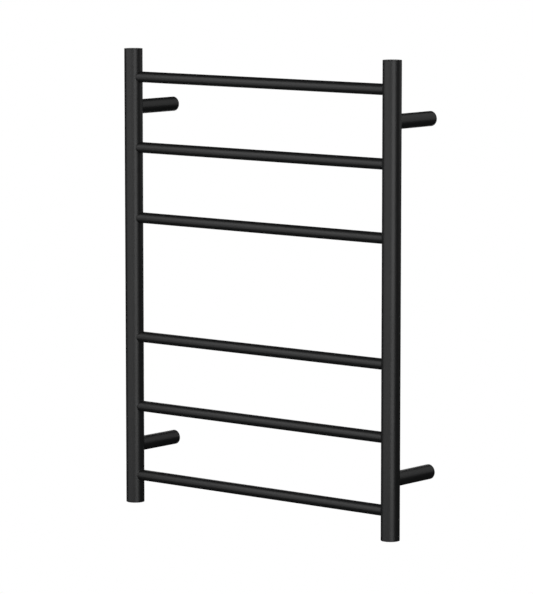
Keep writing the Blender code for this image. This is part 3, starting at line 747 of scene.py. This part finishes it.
def makeScrewTree():
    lengths = ("Radius", "Length", "Pitch", "Thread Depth", "Chamfer", "Drive Size", "Drive Depth")
    tree, given = newTree("Threaded Screw", lengths, counts=("Rows", "Sides"), switches=("Hexagon",))
    add, calc, split, join = handsFor(tree)
    blank = add("GeometryNodeMeshCylinder", {
        "Vertices": given["Sides"], "Side Segments": given["Rows"], "Radius": 1.0, "Depth": 1.0})
    spot = split(add("GeometryNodeInputPosition").outputs[0])
    height = calc("MULTIPLY", spot["Z"], given["Length"])
    turns = calc("DIVIDE", calc("ARCTAN2", spot["Y"], spot["X"]), 2 * math.pi)
    phase = calc("FRACT", calc("SUBTRACT", calc("DIVIDE", height, given["Pitch"]), turns))
    flank = calc("ABSOLUTE", calc("MULTIPLY_ADD", phase, 2.0, -1.0))
    crest = calc("SUBTRACT", given["Radius"], calc("MULTIPLY", flank, given["Thread Depth"]))
    halfLength = calc("MULTIPLY", given["Length"], 0.5)
    toEnd = calc("SUBTRACT", halfLength, calc("ABSOLUTE", height))
    coned = calc("ADD", calc("SUBTRACT", given["Radius"], given["Chamfer"]), toEnd)
    radius = calc("MINIMUM", crest, coned)
    place = join(calc("MULTIPLY", spot["X"], radius), calc("MULTIPLY", spot["Y"], radius), height)
    threaded = add("GeometryNodeSetPosition", {"Geometry": blank.outputs["Mesh"], "Position": place})
    doubled = calc("MULTIPLY", given["Drive Depth"], 2.0)
    hexagon = add("GeometryNodeMeshCylinder", {
        "Vertices": 6, "Radius": given["Drive Size"], "Depth": doubled})
    slotSize = join(calc("MULTIPLY", given["Radius"], 3.0), given["Drive Size"], doubled)
    slot = add("GeometryNodeMeshCube", {"Size": slotSize})
    drive = add("GeometryNodeSwitch", {
        "Switch": given["Hexagon"], "False": slot.outputs["Mesh"], "True": hexagon.outputs["Mesh"]},
        input_type="GEOMETRY")
    lifted = add("GeometryNodeTransform", {
        "Geometry": drive.outputs[0], "Translation": join(0.0, 0.0, halfLength)})
    cut = add("GeometryNodeMeshBoolean", {
        "Mesh 1": threaded.outputs[0], "Mesh 2": lifted.outputs[0]}, operation="DIFFERENCE", solver="EXACT")
    return endTree(tree, cut.outputs["Mesh"], given["Material"])


screwTree = makeScrewTree()
setScrew = {"Pitch": 0.8 * mm, "Thread Depth": 0.4 * mm, "Chamfer": 0.4 * mm, "Hexagon": True,
            "Drive Size": 1.44 * mm, "Drive Depth": 2 * mm, "Rows": 60, "Sides": 40}
clampScrew = {"Pitch": 0.5 * mm, "Thread Depth": 0.2 * mm, "Chamfer": 0.2 * mm, "Hexagon": False,
              "Drive Size": 0.54 * mm, "Drive Depth": 0.9 * mm, "Rows": 54, "Sides": 24}


def makeScrew(name, node, sizes, body, turn, material):
    size = nodeSize(node)
    long = {"Radius": size.x / 2, "Length": size.z, "Material": material}
    piece = grow(name, screwTree, {**sizes, **long}, sharpAngle=35)
    piece.data.transform(Matrix.Translation(nodeCentre(node)) @ Matrix.Rotation(math.radians(turn), 4, "X"))
    settle(piece, "screw_steel", node, body=body)


def makeSetScrews():
    for level, side in corners:
        makeScrew(f"{level}{side.title()}SetScrew", f"set_screw_{level}_{side}", setScrew,
                  f"screw_{level}_{side}", 180, blackenedSteel)


def makeClampScrews():
    for number in range(1, 7):
        makeScrew(f"clampScrew{number}", f"clamp_screw_{number}", clampScrew, "rack", 0, turnedSteel)


# Cable gland: a soft sleeve with a rolled lip

gland = {
    "bore": 3.6 * mm, "lipDepth": 2 * mm, "lipRound": 0.7 * mm, "lipBack": 0.4 * mm, "mouth": 1.2 * mm,
    "mouthRim": 0.2 * mm, "rearRim": 0.4 * mm, "softEdge": 0.3 * mm, "segments": 64}


def makeGland():
    low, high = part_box("cable_gland")
    lip = (high.x - low.x) / 2
    sleeve = spigot["cableHole"] - tubes["gap"]
    bore, rear, front = gland["bore"], -high.y, -low.y
    step = front - gland["lipDepth"]
    outline = [
        (bore, rear, 0), (bore + gland["rearRim"], rear, 0), (sleeve, rear, gland["softEdge"]),
        (sleeve, step, 0), (lip, step, gland["lipBack"]), (lip, front, gland["lipRound"]),
        (bore + gland["mouthRim"], front, gland["softEdge"]), (bore, front - gland["mouth"], 0)]
    mesh = turned("gland", outline, gland["segments"], loop=True)
    mesh = placed(mesh, wiringLeg + Vector((0, 0, spigot["cableRise"])), "X", 90)
    settle(addPiece("cableGland", mesh, mouldedRubber), "gland_rubber", "cable_gland", body="wall_side")


# Inside the wiring leg

block = {
    "poleDrop": 2.5 * mm, "polePitch": 4.7 * mm, "wireHole": 2 * mm, "screwWell": 1.5 * mm,
    "grooveWidth": 0.7 * mm, "grooveDepth": 0.6 * mm, "rounding": 0.5 * mm, "sleeveBore": 1.05 * mm}
circuits = ("live", "earth", "neutral")


def makeTerminalBlock():
    low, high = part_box("terminal_block")
    centre, size = (low + high) / 2, high - low
    mesh = boxMesh(centre, size, block["rounding"])
    cutters = []
    for circuit in circuits:
        sleeve = nodeCentre("terminal_sleeve_" + circuit)
        start = (sleeve.x, high.y + mm, sleeve.z)
        cutters.append(rod(start, (0, -1, 0), block["wireHole"], size.y + 2 * mm, 32))
    for number in range(1, 7):
        screw = nodeCentre(f"clamp_screw_{number}")
        cutters.append(rod((screw.x, screw.y, screw.z - 1 * mm), (0, 0, 1), block["screwWell"], size.z, 32))
    for between in (-0.5, 0.5):
        x = centre.x + between * block["polePitch"]
        for edge in (low.z, high.z):
            groove = (block["grooveWidth"], size.y * 1.2, 2 * block["grooveDepth"])
            cutters.append(boxMesh((x, centre.y, edge), groove))
    mesh = bored(mesh, cutters)
    settle(addPiece("terminalBlock", mesh, paleNylon), "block_nylon", "terminal_block")
    for circuit in circuits:
        node = "terminal_sleeve_" + circuit
        size = nodeSize(node)
        sizes = {"Outer Radius": size.x / 2, "Wall": size.x / 2 - block["sleeveBore"], "Length": size.y,
                 "Edge Round": 0.15 * mm, "Segments": 40, "Material": turnedBrass}
        piece = grow(circuit + "Sleeve", tubeTree, sizes)
        piece.data.transform(Matrix.Translation(nodeCentre(node)) @ Matrix.Rotation(math.pi / 2, 4, "X"))
        settle(piece, "brass", node)


def turnedAlongLeg(name, node, outline, material, slotName):
    # a turned piece whose axis runs along the leg, drawn from its end near the wall
    centre = nodeCentre(node)
    mesh = placed(turned(name, outline, 48), (centre.x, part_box(node)[1].y, centre.z), "X", 90)
    settle(addPiece(name, mesh, material), slotName, node)


def makeCutout():
    size = nodeSize("thermal_cutout")
    radius, length = size.x / 2, size.y
    waist, soft, eased = radius - 0.35 * mm, 0.1 * mm, 0.5 * mm  # the groove's floor and the roundings
    outline = [
        (0, 0.5 * mm, 0), (1.4 * mm, 0.35 * mm, soft), (1.8 * mm, 0, soft), (radius, 0, eased),
        (radius, 8 * mm, soft), (waist, 8.4 * mm, soft), (waist, 8.9 * mm, soft), (radius, 9.3 * mm, soft),
        (radius, length, eased), (0, length, 0)]
    turnedAlongLeg("thermalCutout", "thermal_cutout", outline, drawnAluminium, "cutout_case")


def makeCableJoint():
    size = nodeSize("cable_joint")
    radius, length = size.x / 2, size.y
    ribCount, ribPitch, firstRib = 4, 2.6, 3
    waist, soft = radius - 0.35 * mm, 0.15 * mm
    outline = [(0, 0, 0), (radius - 0.4 * mm, 0, 0.3 * mm), (radius, 1.2 * mm, 0.4 * mm)]
    for rib in range(ribCount):
        along = (firstRib + ribPitch * rib) * mm
        outline += [
            (radius, along, soft), (waist, along + 0.4 * mm, soft), (waist, along + 1 * mm, soft),
            (radius, along + 1.4 * mm, soft)]
    outline += [(radius, length - 0.8 * mm, 0.3 * mm), (radius - 0.6 * mm, length, 0.2 * mm), (0, length, 0)]
    turnedAlongLeg("cableJoint", "cable_joint", outline, shrunkSleeve, "sleeve_plastic")


def makeEndSeal():
    low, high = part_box("cable_end_seal")
    radius, length = (high.z - low.z) / 2, high.x - low.x
    outline = [
        (0, 0, 0), (radius - 0.5 * mm, 0, 0.3 * mm), (radius, 2 * mm, 0.8 * mm), (radius, 15 * mm, 1 * mm),
        (radius - 0.5 * mm, 17 * mm, 1 * mm), (radius - 0.5 * mm, length - 1 * mm, 0.9 * mm), (0, length, 0)]
    mesh = turned("endSeal", outline, 48)
    mesh = placed(mesh, (low.x, (low.y + high.y) / 2, (low.z + high.z) / 2), "Y", 90)
    settle(addPiece("cableEndSeal", mesh, shrunkSleeve), "sleeve_plastic", "cable_end_seal")


earthPoint = {
    "blade": 6.3 * mm, "sheet": 0.8 * mm, "rise": 6.5 * mm, "hole": 0.9 * mm, "rounding": 0.25 * mm,
    "floor": 0.4 * mm, "curl": 1.0 * mm, "neck": 3.2 * mm,
    "neckLength": 1.8 * mm, "shoulder": 3.2 * mm, "flap": 4 * mm, "holeFromTip": 2 * mm}


def makeEarthTab():
    # a blade bent up to a foot on the leg's roof, with the usual small hole near its tip
    low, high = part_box("earth_tab")
    middle = (low.x + high.x) / 2
    blade = wiringLeg.z + earthPoint["rise"]
    half = earthPoint["sheet"] / 2
    foot = high.z - half
    step = low.y + earthPoint["sheet"]
    flap = low.y + earthPoint["flap"]
    builder = bmesh.new()
    outline = [
        (high.y, blade - half), (high.y, blade + half), (step, blade + half), (step, foot - half),
        (flap, foot - half), (flap, foot + half), (low.y, foot + half), (low.y, blade - half)]
    side = middle - earthPoint["blade"] / 2
    face = builder.faces.new([builder.verts.new((side, y, z)) for y, z in outline])
    grown = bmesh.ops.extrude_face_region(builder, geom=[face])["geom"]
    moved = [item for item in grown if isinstance(item, bmesh.types.BMVert)]
    bmesh.ops.translate(builder, verts=moved, vec=(earthPoint["blade"], 0, 0))
    bevelled(builder, earthPoint["rounding"] / 2, 2)
    mesh = finishMesh(builder, "earthTab")
    holeStart = (middle, high.y - earthPoint["holeFromTip"], blade - 2 * mm)
    mesh = bored(mesh, [rod(holeStart, (0, 0, 1), earthPoint["hole"], 4 * mm, 24)])
    settle(addPiece("earthTab", mesh, turnedSteel), "spigot_steel", "earth_tab")


def makeEarthReceptacle():
    # sheet brass with both edges rolled over the blade, narrowing to a neck where the lead goes in
    low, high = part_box("earth_receptacle")
    middle, wide, tall = (low.x + high.x) / 2, (high.x - low.x) / 2, high.z - low.z
    sheet, curl = earthPoint["floor"], earthPoint["curl"]
    rolled = [math.radians(angle) for angle in range(-90, 181, 18)]
    height = tall / 2

    def rolledEdge(across, up):
        return [(wide - curl + across * math.cos(a), height + up * math.sin(a)) for a in rolled]

    half = rolledEdge(curl, height) + list(reversed(rolledEdge(curl - sheet, height - sheet)))
    section = half + [(-x, z) for x, z in reversed(half)]
    builder = bmesh.new()
    neckShare = earthPoint["neck"] / (2 * wide)
    neckEnd, shoulder = high.y - earthPoint["neckLength"], high.y - earthPoint["shoulder"]
    stations = [(high.y, neckShare), (neckEnd, neckShare), (shoulder, 1.0), (low.y, 1.0)]
    rings = []
    for y, share in stations:
        rings.append([builder.verts.new((middle + x * share, y, low.z + z)) for x, z in section])
    count = len(section)
    for ring, following in zip(rings, rings[1:]):
        for index in range(count):
            after = (index + 1) % count
            builder.faces.new((ring[index], ring[after], following[after], following[index]))
    builder.faces.new(rings[0])
    builder.faces.new(list(reversed(rings[-1])))
    mesh = finishMesh(builder, "earthReceptacle")
    settle(addPiece("earthReceptacle", mesh, turnedBrass), "brass", "earth_receptacle")


# Leads and heating cable: one tree sweeps a round wire along its route and maps it for stripes

def makeWireTree():
    tree, given = newTree("Round Wire", ("Radius",), counts=("Sides", "Steps"))
    add, _, _, join = handsFor(tree)
    line = add("GeometryNodeMeshToCurve", {"Mesh": given["Geometry"]})
    kind = add("GeometryNodeCurveSplineType", {"Curve": line.outputs[0]}, spline_type="CATMULL_ROM")
    fine = add("GeometryNodeSetSplineResolution", {"Geometry": kind.outputs[0], "Resolution": 6})
    even = add("GeometryNodeResampleCurve", {"Curve": fine.outputs[0], "Count": given["Steps"]}, mode="COUNT")
    factor = add("GeometryNodeSplineParameter").outputs["Factor"]
    kept = add("GeometryNodeCaptureAttribute", {"Geometry": even.outputs[0]})
    kept.capture_items.new("FLOAT", "Along")
    tree.links.new(factor, kept.inputs["Along"])
    circle = add("GeometryNodeCurvePrimitiveCircle", {
        "Resolution": given["Sides"], "Radius": given["Radius"]}, mode="RADIUS")
    keptRound = add("GeometryNodeCaptureAttribute", {"Geometry": circle.outputs["Curve"]})
    keptRound.capture_items.new("FLOAT", "Around")
    tree.links.new(factor, keptRound.inputs["Around"])
    swept = add("GeometryNodeCurveToMesh", {
        "Curve": kept.outputs["Geometry"], "Profile Curve": keptRound.outputs["Geometry"], "Fill Caps": True})
    mapped = join(keptRound.outputs["Around"], kept.outputs["Along"], 0.0)
    stored = add("GeometryNodeStoreNamedAttribute", {
        "Geometry": swept.outputs[0], "Name": "turned", "Value": mapped},
        data_type="FLOAT2", domain="CORNER")
    return endTree(tree, stored.outputs[0], given["Material"])


wireTree = makeWireTree()
lead = {"Radius": 0.9 * mm, "Sides": 20, "Steps": 48}
heater = {"Radius": 2.5 * mm, "Sides": 20, "Steps": 1400}
cableLay = {"bend": 20 * mm, "side": 10.5 * mm, "sag": 5 * mm, "settle": 60 * mm, "gap": 0.3 * mm}
leadLay = {
    "pole": block["polePitch"], "drop": -block["poleDrop"], "atJoint": 1.6 * mm, "fromWall": tubes["gap"]}


def eased(points, pieces):
    # a curve through the points, with the given number of pieces to each span
    spans = [b - a for a, b in zip(points, points[1:])]
    headings = [(before + after).normalized() for before, after in zip(spans[:1] + spans, spans + spans[-1:])]
    route = []
    for begin, span, leaving, arriving in zip(points, spans, headings, headings[1:]):
        for step in range(pieces):
            t = step / pieces
            stay, leave = 2 * t**3 - 3 * t**2 + 1, t**3 - 2 * t**2 + t
            go, arrive = 3 * t**2 - 2 * t**3, t**3 - t**2
            bulge = (leaving * leave + arriving * arrive) * span.length
            route.append(begin * stay + (begin + span) * go + bulge)
    return route + [points[-1]]


def makeWire(name, node, points, pieces, sizes, material, slotName):
    values = {**sizes, "Material": material}
    settle(grow(name, wireTree, values, eased(points, pieces), joined=True, sharpAngle=50), slotName, node)


def makeLeads():
    # each route is drawn as across, up and out from the wall, from the wiring leg's axis
    lay = leadLay
    blockEnd = -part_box("terminal_block")[0].y + lay["fromWall"]
    cutoutStart = -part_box("thermal_cutout")[1].y - lay["fromWall"]
    cutoutEnd = -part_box("thermal_cutout")[0].y + lay["fromWall"]
    jointStart = -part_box("cable_joint")[1].y - lay["fromWall"]
    receptacle = -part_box("earth_receptacle")[1].y
    pole, drop, join, tabRise = lay["pole"], lay["drop"], lay["atJoint"], earthPoint["rise"]
    routes = (
        ("liveLead", "live_lead", brownLead, "brown_insulation", [
            (-pole, drop, blockEnd), (-pole, drop, cutoutStart)]),
        ("switchedLiveLead", "switched_live_lead", brownLead, "brown_insulation", [
            (-pole, drop, cutoutEnd), (-pole + 0.4 * mm, drop + 0.3 * mm, cutoutEnd + 1.8 * mm),
            (-join - 0.4 * mm, -0.3 * mm, jointStart - 1.8 * mm), (-join, 0, jointStart)]),
        ("neutralLead", "neutral_lead", blueLead, "blue_insulation", [
            (pole, drop, blockEnd), (pole, drop, blockEnd + 5 * mm),
            (pole + 0.5 * mm, drop + 1 * mm, blockEnd + 14 * mm),
            (join + 0.7 * mm, -0.4 * mm, jointStart - 4 * mm), (join, 0, jointStart)]),
        ("earthLead", "earth_lead", earthLead, "green_insulation", [
            (0, drop, blockEnd), (0, drop + 0.8 * mm, blockEnd + 1.6 * mm),
            (0, tabRise - 0.8 * mm, receptacle - 1.9 * mm), (0, tabRise, receptacle - lay["fromWall"])]),
    )
    for name, node, material, slotName, places in routes:
        points = [wiringLeg + Vector((across, -out, up)) for across, up, out in places]
        makeWire(name, node, points, 6, lead, material, slotName)


def quarterTurn(start, along, towards, steps):
    radius = cableLay["bend"]
    angles = [math.pi / 2 * step / steps for step in range(1, steps + 1)]
    return [start + along * radius * math.sin(a) + towards * radius * (1 - math.cos(a)) for a in angles]


def makeHeatingCable():
    # out of the wiring leg, down into the lowest crossbar, then to and fro up to the top one
    lay = cableLay
    forward, up, across = Vector((0, -1, 0)), Vector((0, 0, 1)), Vector((1, 0, 0))
    sideX = postX["right"]
    start = Vector((sideX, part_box("cable_joint")[0].y - lay["gap"], wiringLeg.z))
    route = [start, Vector((sideX, postY - lay["side"] + lay["bend"], wiringLeg.z))]
    route += quarterTurn(route[-1], forward, -up, 3)
    heights = [z - lay["sag"] / 2 for z in reversed(barZ)]
    entry = Vector((sideX, route[-1].y, heights[0] + lay["bend"]))
    route.append(entry)
    steps = 4
    for step, point in enumerate(quarterTurn(entry, -up, -across, steps), start=1):
        drift = (postY - entry.y) * math.sin(math.pi / 2 * step / steps)
        route.append(point + Vector((0, drift, 0)))
    inside = sideX + lay["side"] - lay["bend"]
    straight, settled = inside - lay["bend"] / 2, inside - lay["settle"]
    for number, z in enumerate(heights):
        heading = across if number % 2 else -across
        floor = z - lay["sag"] / 2
        run = [(straight, z), (settled, floor), (0, floor), (-settled, floor), (-straight, z)]
        if number == 0:
            run = run[1:]
        for before, height in run:
            route.append(Vector((-heading.x * before, postY, height)))
        if number == len(heights) - 1:
            route[-2:] = [Vector((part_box("cable_end_seal")[0].x - lay["gap"], postY, floor))]
            break
        route.append(Vector((heading.x * inside, postY, z)))
        route += quarterTurn(route[-1], heading, up, 4)
        following = Vector((route[-1].x, postY, heights[number + 1] - lay["bend"]))
        route += [(route[-1] + following) / 2, following]
        route += quarterTurn(following, up, -heading, 4)
    makeWire("heatingCable", "heating_cable", route, 4, heater, redSilicone, "cable_silicone")


makeUprights()
makeCrossbars()
makeLegs()
makeWelds()
makeEndCaps()
print("black tubes made")
makeWallSpigots()
makeSetScrews()
makeGland()
print("wall fixings made")
makeTerminalBlock()
makeClampScrews()
makeCutout()
makeCableJoint()
makeEndSeal()
makeEarthTab()
makeEarthReceptacle()
makeLeads()
makeHeatingCable()
print("wiring made")


# Studio: floor, lights, backdrop and camera

# glow keeps the floor pale from above
floorLook = {
    "drop": 0.9, "radius": 2.4, "solidTo": 0.9, "colour": (0.9, 0.9, 0.9, 1), "glow": 0.45, "sides": 96}


def makeFloor():
    # a disc below the piece that fades out towards its rim and is clear from below
    height = cadBox[0][2] - floorLook["drop"]
    count = floorLook["sides"]
    turns = [2 * math.pi * step / count for step in range(count)]
    rim = [(floorLook["radius"] * math.cos(a), floorLook["radius"] * math.sin(a), height) for a in turns]
    disc = bpy.data.meshes.new("floor")
    disc.from_pydata(rim, [], [tuple(range(count))])
    material, tree, shader = newFinish("paleFloor", {
        "Roughness": 0.9, "Base Color": floorLook["colour"], "Emission Color": (1, 1, 1, 1),
        "Emission Strength": floorLook["glow"]})
    add, calc, split, _ = handsFor(tree)
    place = split(add("ShaderNodeTexCoord").outputs["Object"])
    squared = calc("MULTIPLY_ADD", place["X"], place["X"], calc("MULTIPLY", place["Y"], place["Y"]))
    fade = add("ShaderNodeMapRange", {
        "Value": calc("SQRT", squared), "From Min": floorLook["solidTo"], "From Max": floorLook["radius"]},
        interpolation_type="SMOOTHSTEP")
    backSide = add("ShaderNodeNewGeometry").outputs["Backfacing"]
    clear = calc("MAXIMUM", fade.outputs["Result"], backSide)
    seeThrough = add("ShaderNodeBsdfTransparent")
    mixed = add("ShaderNodeMixShader", {0: clear, 1: shader.outputs[0], 2: seeThrough.outputs[0]})
    tree.links.new(mixed.outputs[0], tree.nodes["Material Output"].inputs["Surface"])
    layOut(tree)
    ground = addPiece("floor", disc, material)
    ground.visible_diffuse = False
    ground.visible_glossy = False
    ground.visible_shadow = False


def makeBackdrop():
    # the backdrop is white to the camera and gives the piece only a dim even fill
    world = bpy.data.worlds.new("studio")
    world.use_nodes = True
    tree = world.node_tree
    tree.nodes.clear()
    add = handsFor(tree)[0]
    fill = add("ShaderNodeBackground", {"Color": (1, 1, 1, 1), "Strength": studioFill})
    white = add("ShaderNodeBackground", {"Color": (1, 1, 1, 1), "Strength": 1.0})
    seen = add("ShaderNodeLightPath").outputs["Is Camera Ray"]
    mixed = add("ShaderNodeMixShader", {0: seen, 1: fill.outputs[0], 2: white.outputs[0]})
    add("ShaderNodeOutputWorld", {"Surface": mixed.outputs[0]})
    layOut(tree)
    bpy.context.scene.world = world


studioFill = 0.02
# each soft box: direction from the piece (azimuth from the front towards +X, elevation), how wide and
# high it looks from the piece, all in degrees, and its power in watts
softBoxes = {
    "rightBox": {"azimuth": 59, "elevation": 1, "wide": 38, "high": 46, "power": 44.1},
    "leftBox": {"azimuth": -34, "elevation": 27, "wide": 58, "high": 38, "power": 37.1},
    "lowBox": {"azimuth": -36, "elevation": -9, "wide": 51, "high": 34, "power": 14.2},
    "frontBox": {"azimuth": 11, "elevation": -2, "wide": 43, "high": 32, "power": 17.3},
    "backBox": {"azimuth": 150, "elevation": 26, "wide": 52, "high": 54, "power": 16},
    "farBox": {"azimuth": -144, "elevation": -1, "wide": 38, "high": 38, "power": 17},
    "topBox": {"azimuth": 90, "elevation": 76, "wide": 50, "high": 50, "power": 12},
}
softBoxDistance = 3.2


def direction(azimuth, elevation):
    a, e = math.radians(azimuth), math.radians(elevation)
    return Vector((math.sin(a) * math.cos(e), -math.cos(a) * math.cos(e), math.sin(e)))


def aimed(name, data, centre, look, distance):
    # hangs a lamp or the camera out from the centre, turned to face it
    holder = addObject(name, data)
    towards = direction(look["azimuth"], look["elevation"])
    holder.location = Vector(centre) + towards * distance
    holder.rotation_euler = towards.to_track_quat("Z", "Y").to_euler()
    return holder


def makeSoftBoxes():
    for name, look in softBoxes.items():
        lamp = bpy.data.lights.new(name, "AREA")
        lamp.shape = "RECTANGLE"
        lamp.size = 2 * softBoxDistance * math.tan(math.radians(look["wide"] / 2))
        lamp.size_y = 2 * softBoxDistance * math.tan(math.radians(look["high"] / 2))
        lamp.energy = look["power"]
        aimed(name, lamp, (0, postY, 0), look, softBoxDistance)


view = {
    "aim": (0.0109, -0.1001, -0.0136), "azimuth": 39.587, "elevation": 7.06, "distance": 5.986,
    "lens": 212.97, "sensor": 36, "farthest": 50}


def makeCamera():
    camera = bpy.data.cameras.new("camera")
    camera.lens = view["lens"]
    camera.sensor_width = view["sensor"]
    camera.sensor_fit = "AUTO"
    camera.clip_end = view["farthest"]
    bpy.context.scene.camera = aimed("camera", camera, view["aim"], view, view["distance"])


makeFloor()
makeBackdrop()
makeSoftBoxes()
makeCamera()
bpy.context.scene.view_settings.view_transform = "Standard"
print("studio made")
